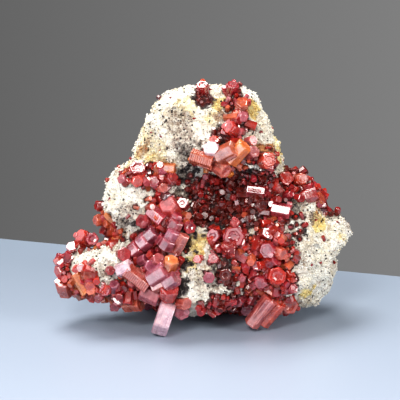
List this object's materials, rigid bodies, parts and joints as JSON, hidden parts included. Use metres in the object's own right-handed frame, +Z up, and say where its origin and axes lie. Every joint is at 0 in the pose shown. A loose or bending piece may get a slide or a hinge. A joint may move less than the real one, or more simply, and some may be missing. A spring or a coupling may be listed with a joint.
{
  "type": "vanadinite crystal specimen on matrix",
  "caption": "Mineral specimen: glossy red and orange hexagonal crystals grown over a pale crumbly rock that stands on its own broken base.",
  "frame": {"origin": "under the middle of the specimen's bounding box, on the surface it stands on", "axes": "+X across the specimen to the viewer's right, +Y from the crystal side to the back, +Z up"},
  "size_m": [0.088, 0.0566, 0.0716],
  "materials": {
    "matrix": "matte",
    "vanadinite_red": "gloss",
    "vanadinite_orange": "gloss",
    "vanadinite_mauve": "gloss"
  },
  "bodies": {
    "root": {"matrix_rock": "matrix", "apron_edge_mauve": "vanadinite_mauve", "apron_edge_pink": "vanadinite_mauve", "apron_mauve_hexagon": "vanadinite_mauve", "apron_red": "vanadinite_red", "back_pink_upper": "vanadinite_mauve", "back_red_lower_group": "vanadinite_red", "back_red_upper_group": "vanadinite_red", "back_small_lower": "vanadinite_red", "band_deep_red_group": "vanadinite_red", "band_leaf_group": "vanadinite_red", "crown_orange_group": "vanadinite_orange", "crown_red_barrel": "vanadinite_red", "crown_top_red_left": "vanadinite_red", "crown_top_red_right": "vanadinite_red", "dark_mauve": "vanadinite_mauve", "flank_big_hexagon_group": "vanadinite_red", "flank_bright_bar": "vanadinite_mauve", "flank_leaf_group": "vanadinite_red", "flank_pink_hexagon": "vanadinite_mauve", "foot_bright_cube": "vanadinite_mauve", "foot_crest_red_group": "vanadinite_red", "foot_hopper_group": "vanadinite_orange", "foot_mauve_top_group": "vanadinite_mauve", "foot_orange_blade_group": "vanadinite_orange", "foot_pink_upper": "vanadinite_mauve", "foot_under_pink": "vanadinite_mauve", "hanging_plate_group": "vanadinite_mauve", "knee_red_group": "vanadinite_red", "knob_edge_red": "vanadinite_red", "knob_foot_orange": "vanadinite_orange", "ledge_blade_group": "vanadinite_orange", "ledge_red": "vanadinite_orange", "left_orange_block_group": "vanadinite_orange", "left_side_orange": "vanadinite_orange", "left_side_red": "vanadinite_red", "magenta_hexagon": "vanadinite_red", "pocket_dark_hexagon": "vanadinite_red", "right_side_red_group": "vanadinite_red", "right_side_small": "vanadinite_red", "rosette_group": "vanadinite_red", "rosette_left": "vanadinite_red", "shoulder_orange": "vanadinite_orange", "shoulder_red": "vanadinite_red", "slanting_blade_group": "vanadinite_orange", "vug_bright_bar": "vanadinite_mauve", "vug_right_red": "vanadinite_red"}
  },
  "joints": []
}
